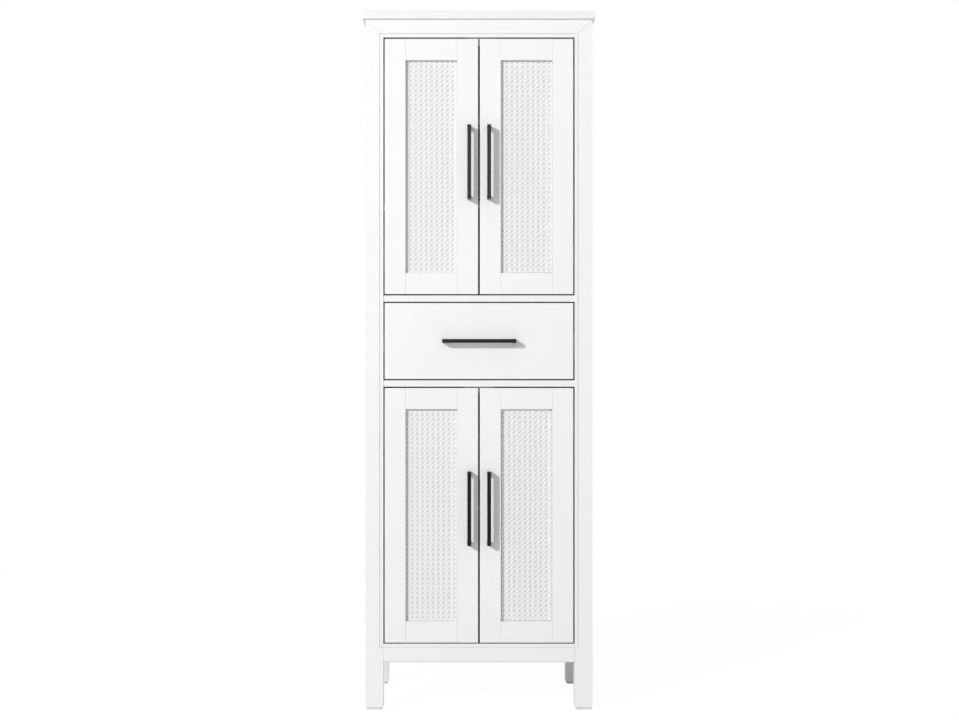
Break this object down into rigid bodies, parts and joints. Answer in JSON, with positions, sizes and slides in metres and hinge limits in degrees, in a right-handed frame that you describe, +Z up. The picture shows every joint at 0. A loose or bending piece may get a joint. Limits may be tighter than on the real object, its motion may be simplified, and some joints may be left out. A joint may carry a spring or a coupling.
{
  "type": "bathroom cabinet",
  "caption": "Tall white freestanding linen cabinet with inset cane-panelled doors above and below a drawer, square legs and black bar handles.",
  "frame": {"origin": "on the floor, under the middle of the overall box, handles included", "axes": "+Z up, -Y out of the front, +X to the right as seen from the front"},
  "size_m": [0.606, 0.422, 1.821],
  "materials": {
    "painted_top": "satin white paint on MDF",
    "painted_frame": "satin white paint on MDF",
    "painted_board": "satin white paint on MDF",
    "back_board": "white faced fibreboard",
    "painted_drawer": "satin white paint on MDF",
    "drawer_board": "white melamine faced board",
    "painted_door": "satin white paint on MDF",
    "cane_backing": "white painted panel, duller behind the cane",
    "cane": "woven cane, painted white",
    "black_handle": "satin black powder coat",
    "hinge_steel": "nickel-plated pressed steel",
    "slide_steel": "zinc-plated rolled steel",
    "pin_steel": "nickel-plated",
    "glide_plastic": "moulded",
    "stop_plastic": "moulded"
  },
  "bodies": {
    "cabinet": {"top_panel": "painted_top", "front_left_post": "painted_frame", "front_right_post": "painted_frame", "rear_left_post": "painted_frame", "rear_right_post": "painted_frame", "left_side_panel": "painted_board", "right_side_panel": "painted_board", "back_panel": "back_board", "top_rail": "painted_frame", "bottom_rail": "painted_frame", "upper_divider": "painted_board", "lower_divider": "painted_board", "bottom_panel": "painted_board", "shelves": "painted_board", "shelf_pins": "pin_steel", "foot_glides": "glide_plastic", "door_stops": "stop_plastic", "hinge_plates": "hinge_steel", "hinge_arms": "hinge_steel", "hinge_pins": "hinge_steel", "slide_outer_members": "slide_steel"},
    "upper_left_door": {"upper_left_door_hinge_stile": "painted_door", "upper_left_door_handle_stile": "painted_door", "upper_left_door_rails": "painted_door", "upper_left_door_panel": "cane_backing", "upper_left_door_cane": "cane", "upper_left_door_handle": "black_handle", "upper_left_door_hinge_cups": "hinge_steel"},
    "upper_right_door": {"upper_right_door_hinge_stile": "painted_door", "upper_right_door_handle_stile": "painted_door", "upper_right_door_rails": "painted_door", "upper_right_door_panel": "cane_backing", "upper_right_door_cane": "cane", "upper_right_door_handle": "black_handle", "upper_right_door_hinge_cups": "hinge_steel"},
    "lower_left_door": {"lower_left_door_hinge_stile": "painted_door", "lower_left_door_handle_stile": "painted_door", "lower_left_door_rails": "painted_door", "lower_left_door_panel": "cane_backing", "lower_left_door_cane": "cane", "lower_left_door_handle": "black_handle", "lower_left_door_hinge_cups": "hinge_steel"},
    "lower_right_door": {"lower_right_door_hinge_stile": "painted_door", "lower_right_door_handle_stile": "painted_door", "lower_right_door_rails": "painted_door", "lower_right_door_panel": "cane_backing", "lower_right_door_cane": "cane", "lower_right_door_handle": "black_handle", "lower_right_door_hinge_cups": "hinge_steel"},
    "drawer": {"drawer_front": "painted_drawer", "drawer_handle": "black_handle", "drawer_sides": "drawer_board", "drawer_box_front": "drawer_board", "drawer_back": "drawer_board", "drawer_bottom": "drawer_board", "slide_inner_members": "slide_steel"},
    "slide_middle": {"slide_middle_members": "slide_steel"},
    "outer_ball_cages": {"slide_outer_cages": "slide_steel"},
    "inner_ball_cages": {"slide_inner_cages": "slide_steel"}
  },
  "joints": [
    {"name": "upper_left_door_hinge", "type": "hinge", "parent": "cabinet", "child": "upper_left_door", "pos_m": [-0.2325, -0.17, 1.4165], "axis": [0, 0, -1], "range_deg": [0, 105]},
    {"name": "upper_right_door_hinge", "type": "hinge", "parent": "cabinet", "child": "upper_right_door", "pos_m": [0.2325, -0.17, 1.4165], "axis": [0, 0, 1], "range_deg": [0, 105]},
    {"name": "lower_left_door_hinge", "type": "hinge", "parent": "cabinet", "child": "lower_left_door", "pos_m": [-0.2325, -0.17, 0.50675], "axis": [0, 0, -1], "range_deg": [0, 105]},
    {"name": "lower_right_door_hinge", "type": "hinge", "parent": "cabinet", "child": "lower_right_door", "pos_m": [0.2325, -0.17, 0.50675], "axis": [0, 0, 1], "range_deg": [0, 105]},
    {"name": "drawer_slide", "type": "slide", "parent": "cabinet", "child": "drawer", "axis": [0, -1, 0], "range_m": [0, 0.34]},
    {"name": "slide_middle_travel", "type": "slide", "parent": "cabinet", "child": "slide_middle", "axis": [0, -1, 0], "range_m": [0, 0.17]},
    {"name": "outer_cage_travel", "type": "slide", "parent": "cabinet", "child": "outer_ball_cages", "axis": [0, -1, 0], "range_m": [0, 0.085]},
    {"name": "inner_cage_travel", "type": "slide", "parent": "cabinet", "child": "inner_ball_cages", "axis": [0, -1, 0], "range_m": [0, 0.255]}
  ],
  "couplings": [
    {"joint": "slide_middle_travel", "follows": "drawer_slide", "ratio": 0.5},
    {"joint": "outer_cage_travel", "follows": "drawer_slide", "ratio": 0.25},
    {"joint": "inner_cage_travel", "follows": "drawer_slide", "ratio": 0.75}
  ]
}
